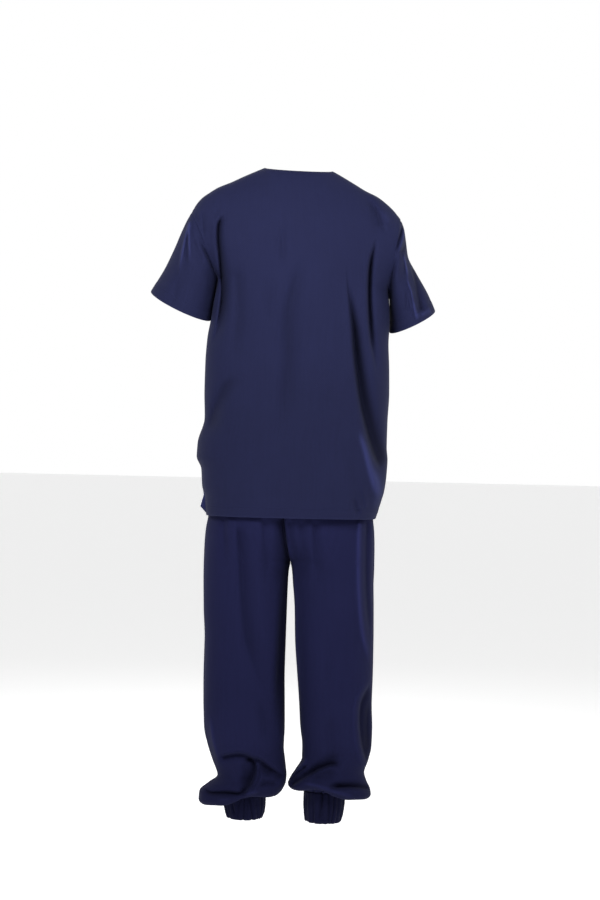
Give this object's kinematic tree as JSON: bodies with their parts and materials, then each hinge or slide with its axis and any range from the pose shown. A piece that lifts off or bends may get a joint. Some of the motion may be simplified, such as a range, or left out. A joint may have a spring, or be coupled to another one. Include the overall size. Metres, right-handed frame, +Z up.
{
  "type": "medical scrubs",
  "caption": "Worn-shape medical scrub set: short-sleeved top with V neck and side vents over elastic-waist jogger trousers gathered into ankle cuffs.",
  "frame": {"origin": "centre of the neck base, level with the shoulder-neck points, where the wearer carries the set", "axes": "+Z up, the garment faces -Y, +X is the wearer's left"},
  "size_m": [0.6295, 0.2705, 1.4297],
  "materials": {
    "top_twill": "matte navy poly-cotton twill",
    "trouser_twill": "matte navy poly-cotton twill",
    "cuff_elastic": "matte gathered elastic cuff"
  },
  "bodies": {
    "root": {"top_back": "top_twill", "top_front": "top_twill", "sleeve_left": "top_twill", "sleeve_right": "top_twill", "trouser_back_left": "trouser_twill", "trouser_back_right": "trouser_twill", "trouser_front_left": "trouser_twill", "trouser_front_right": "trouser_twill", "waistband": "trouser_twill", "ankle_cuff_left": "cuff_elastic", "ankle_cuff_right": "cuff_elastic"}
  },
  "joints": []
}
